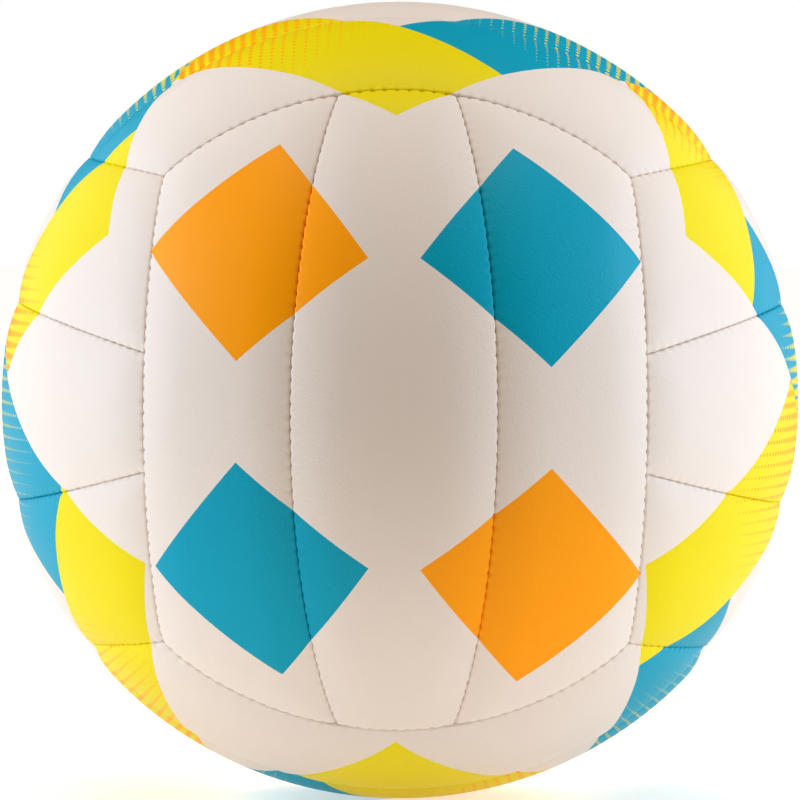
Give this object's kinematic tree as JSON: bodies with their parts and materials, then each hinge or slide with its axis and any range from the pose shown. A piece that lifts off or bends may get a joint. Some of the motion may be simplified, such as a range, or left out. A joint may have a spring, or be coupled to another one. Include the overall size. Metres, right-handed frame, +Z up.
{
  "type": "volleyball",
  "caption": "Beach volleyball: padded, stitched cover panels in six groups of strips round an air bladder with a needle valve.",
  "frame": {"origin": "centre of the ball", "axes": "the front face of three upright strips looks along -Y, the valve is at +Y on the middle strip of the back face, +Z is up"},
  "size_m": [0.213, 0.2129, 0.213],
  "materials": {
    "cover_leather": "satin",
    "foam": "matte",
    "backing_cloth": "matte",
    "sewing_thread": "matte",
    "bladder_rubber": "satin",
    "valve_rubber": "matte",
    "valve_core_rubber": "matte"
  },
  "bodies": {
    "root": {"front_left_panel": "cover_leather", "front_middle_panel": "cover_leather", "front_right_panel": "cover_leather", "back_left_panel": "cover_leather", "back_middle_panel": "cover_leather", "back_right_panel": "cover_leather", "left_upper_panel": "cover_leather", "left_middle_panel": "cover_leather", "left_lower_panel": "cover_leather", "right_upper_panel": "cover_leather", "right_middle_panel": "cover_leather", "right_lower_panel": "cover_leather", "top_front_panel": "cover_leather", "top_middle_panel": "cover_leather", "top_back_panel": "cover_leather", "bottom_front_panel": "cover_leather", "bottom_middle_panel": "cover_leather", "bottom_back_panel": "cover_leather", "front_left_foam": "foam", "front_middle_foam": "foam", "front_right_foam": "foam", "back_left_foam": "foam", "back_middle_foam": "foam", "back_right_foam": "foam", "left_upper_foam": "foam", "left_middle_foam": "foam", "left_lower_foam": "foam", "right_upper_foam": "foam", "right_middle_foam": "foam", "right_lower_foam": "foam", "top_front_foam": "foam", "top_middle_foam": "foam", "top_back_foam": "foam", "bottom_front_foam": "foam", "bottom_middle_foam": "foam", "bottom_back_foam": "foam", "front_left_cloth": "backing_cloth", "front_middle_cloth": "backing_cloth", "front_right_cloth": "backing_cloth", "back_left_cloth": "backing_cloth", "back_middle_cloth": "backing_cloth", "back_right_cloth": "backing_cloth", "left_upper_cloth": "backing_cloth", "left_middle_cloth": "backing_cloth", "left_lower_cloth": "backing_cloth", "right_upper_cloth": "backing_cloth", "right_middle_cloth": "backing_cloth", "right_lower_cloth": "backing_cloth", "top_front_cloth": "backing_cloth", "top_middle_cloth": "backing_cloth", "top_back_cloth": "backing_cloth", "bottom_front_cloth": "backing_cloth", "bottom_middle_cloth": "backing_cloth", "bottom_back_cloth": "backing_cloth", "strip_seam_thread": "sewing_thread", "face_seam_thread": "sewing_thread", "bladder": "bladder_rubber", "valve_housing": "valve_rubber", "valve_insert": "valve_core_rubber"}
  },
  "joints": []
}
